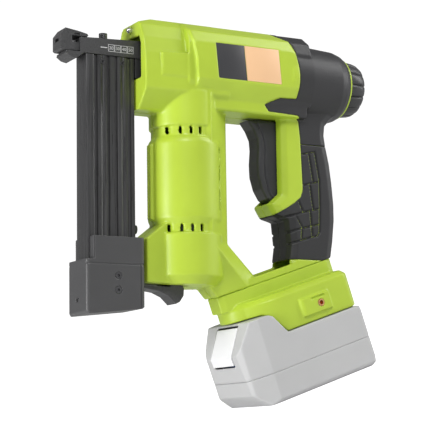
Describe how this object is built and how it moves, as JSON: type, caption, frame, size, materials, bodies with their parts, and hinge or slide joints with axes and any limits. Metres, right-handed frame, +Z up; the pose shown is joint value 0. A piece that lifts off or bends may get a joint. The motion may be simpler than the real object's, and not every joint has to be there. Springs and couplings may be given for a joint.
{
  "type": "cordless brad nailer",
  "caption": "Battery-powered nailer with a pistol grip, a slanted sliding magazine under the nose, a vertical motor barrel and a removable slide-on battery.",
  "frame": {"origin": "centre of the battery base, on the surface the tool stands on", "axes": "+Z up, +X towards the rear of the tool, +Y to its right, the middle plane is Y = 0"},
  "size_m": [0.3175, 0.074, 0.3339],
  "materials": {
    "housing": "satin moulded nylon",
    "overmould": "soft matt elastomer",
    "dark_metal": "dark anodised, fine grain",
    "cast_metal": "as cast",
    "steel": "machined",
    "spring_steel": "drawn wire",
    "dark_plastic": "fine texture",
    "label": "printed",
    "lens": "clear",
    "brass": "turned",
    "copper": "plated",
    "rubber": "matt",
    "board": "lacquered",
    "battery_case": "satin",
    "battery_button": "satin",
    "cell": "sleeved",
    "motor": "plated",
    "gear_steel": "hardened"
  },
  "bodies": {
    "tool": {"housing_left": "housing", "housing_right": "housing", "rear_cover_left": "overmould", "rear_cover_right": "overmould", "grip_sleeve_left": "overmould", "grip_sleeve_right": "overmould", "side_labels": "label", "housing_screws": "steel", "led_lens": "lens", "knob_ring": "housing", "nose_bar": "dark_metal", "contact_springs": "spring_steel", "nose_cap_screw": "steel", "magazine_rail": "steel", "magazine_bracket": "dark_metal", "lever_pin": "steel", "trigger_pin": "steel", "trigger_switch": "dark_plastic", "motor_can": "motor", "gearbox_case": "cast_metal", "output_bearing": "steel", "drive_frame": "cast_metal", "guide_rod": "steel", "bumper": "rubber", "main_spring": "spring_steel", "foot_shell": "housing", "hook_inserts": "brass", "terminal_block": "dark_plastic", "circuit_board": "board"},
    "contact_tip": {"contact_tip": "dark_metal"},
    "trigger": {"trigger": "dark_plastic"},
    "switch_plunger": {"switch_plunger": "dark_plastic"},
    "power_knob": {"power_knob": "dark_plastic", "knob_spindle": "steel"},
    "preload_nut": {"preload_nut": "steel"},
    "magazine": {"magazine_cover": "dark_metal", "rib_screws": "steel", "stop_stud": "dark_plastic", "end_block": "dark_plastic", "end_block_screws": "steel", "pusher_spring": "spring_steel"},
    "pusher": {"pusher": "cast_metal"},
    "latch_lever": {"latch_lever": "dark_metal"},
    "battery": {"battery_lower_case": "battery_case", "battery_upper_case": "battery_case", "battery_cells": "cell", "battery_contacts": "copper"},
    "battery_button": {"battery_button": "battery_button"},
    "driver": {"driver_carriage": "cast_metal", "driver_blade": "gear_steel", "lift_rack": "gear_steel"},
    "output_shaft": {"planet_carrier": "gear_steel", "lifter_gear": "gear_steel"},
    "rotor": {"motor_rotor": "motor"},
    "planet_1": {"planet_gear_1": "gear_steel"},
    "planet_2": {"planet_gear_2": "gear_steel"},
    "planet_3": {"planet_gear_3": "gear_steel"}
  },
  "joints": [
    {"name": "contact_tip_slide", "type": "slide", "parent": "tool", "child": "contact_tip", "axis": [0.9455, 0, -0.3256], "range_m": [0, 0.006], "stiffness_N_per_m": 800, "springref_m": -0.003, "deforming": ["contact_springs"]},
    {"name": "trigger_pull", "type": "hinge", "parent": "tool", "child": "trigger", "pos_m": [0.05469, 0, 0.2108], "axis": [0, -1, 0], "range_deg": [0, 6], "stiffness_Nm_per_rad": 1.5, "springref_deg": -2.86},
    {"name": "switch_plunger_slide", "type": "slide", "parent": "tool", "child": "switch_plunger", "axis": [0.9455, 0, -0.3256], "range_m": [0, 0.0036]},
    {"name": "power_knob_turn", "type": "hinge", "parent": "tool", "child": "power_knob", "pos_m": [0.13262, 0, 0.22522], "axis": [0.9455, 0, -0.3256], "range_deg": [0, 270]},
    {"name": "preload_nut_slide", "type": "slide", "parent": "tool", "child": "preload_nut", "axis": [0.9455, 0, -0.3256], "range_m": [0, 0.0023], "deforming": ["main_spring"]},
    {"name": "magazine_slide", "type": "slide", "parent": "tool", "child": "magazine", "axis": [-0.3256, 0, -0.9455], "range_m": [0, 0.1]},
    {"name": "pusher_slide", "type": "slide", "parent": "magazine", "child": "pusher", "axis": [-0.3256, 0, -0.9455], "range_m": [0, 0.12], "stiffness_N_per_m": 30, "springref_m": -0.15, "deforming": ["pusher_spring"]},
    {"name": "latch_lever_turn", "type": "hinge", "parent": "tool", "child": "latch_lever", "pos_m": [-0.083, 0, 0.11808], "axis": [0, -1, 0], "range_deg": [0, 18], "stiffness_Nm_per_rad": 0.4, "springref_deg": -8.59},
    {"name": "battery_slide", "type": "slide", "parent": "tool", "child": "battery", "axis": [-1, 0, 0], "range_m": [0, 0.08]},
    {"name": "battery_button_press", "type": "slide", "parent": "battery", "child": "battery_button", "axis": [0.8315, 0, -0.5556], "range_m": [0, 0.0025], "stiffness_N_per_m": 1500, "springref_m": -0.001},
    {"name": "lifter_turn", "type": "hinge", "parent": "tool", "child": "output_shaft", "pos_m": [-0.02137, 0, 0.25867], "axis": [0.3256, 0, 0.9455], "range_deg": [0, 163]},
    {"name": "driver_slide", "type": "slide", "parent": "tool", "child": "driver", "axis": [0.9455, 0, -0.3256], "range_m": [0, 0.0398], "stiffness_N_per_m": 200, "springref_m": -0.02, "deforming": ["main_spring"]},
    {"name": "rotor_spin", "type": "hinge", "parent": "tool", "child": "rotor", "pos_m": [-0.05279, 0, 0.16743], "axis": [0.3256, 0, 0.9455], "range_deg": [0, 820]},
    {"name": "planet_1_spin", "type": "hinge", "parent": "output_shaft", "child": "planet_1", "pos_m": [-0.02826, 0, 0.20182], "axis": [0.3256, 0, 0.9455], "range_deg": [-437, 0]},
    {"name": "planet_2_spin", "type": "hinge", "parent": "output_shaft", "child": "planet_2", "pos_m": [-0.04528, 0.01039, 0.20768], "axis": [0.3256, 0, 0.9455], "range_deg": [-437, 0]},
    {"name": "planet_3_spin", "type": "hinge", "parent": "output_shaft", "child": "planet_3", "pos_m": [-0.04528, -0.01039, 0.20768], "axis": [0.3256, 0, 0.9455], "range_deg": [-437, 0]}
  ],
  "couplings": [
    {"joint": "switch_plunger_slide", "follows": "trigger_pull", "m_per_rad": 0.0325},
    {"joint": "preload_nut_slide", "follows": "power_knob_turn", "m_per_rad": 0.000477},
    {"joint": "lifter_turn", "follows": "driver_slide", "rad_per_m": 71.429},
    {"joint": "rotor_spin", "follows": "driver_slide", "rad_per_m": 357.14},
    {"joint": "planet_1_spin", "follows": "driver_slide", "rad_per_m": -190.48},
    {"joint": "planet_2_spin", "follows": "driver_slide", "rad_per_m": -190.48},
    {"joint": "planet_3_spin", "follows": "driver_slide", "rad_per_m": -190.48}
  ]
}
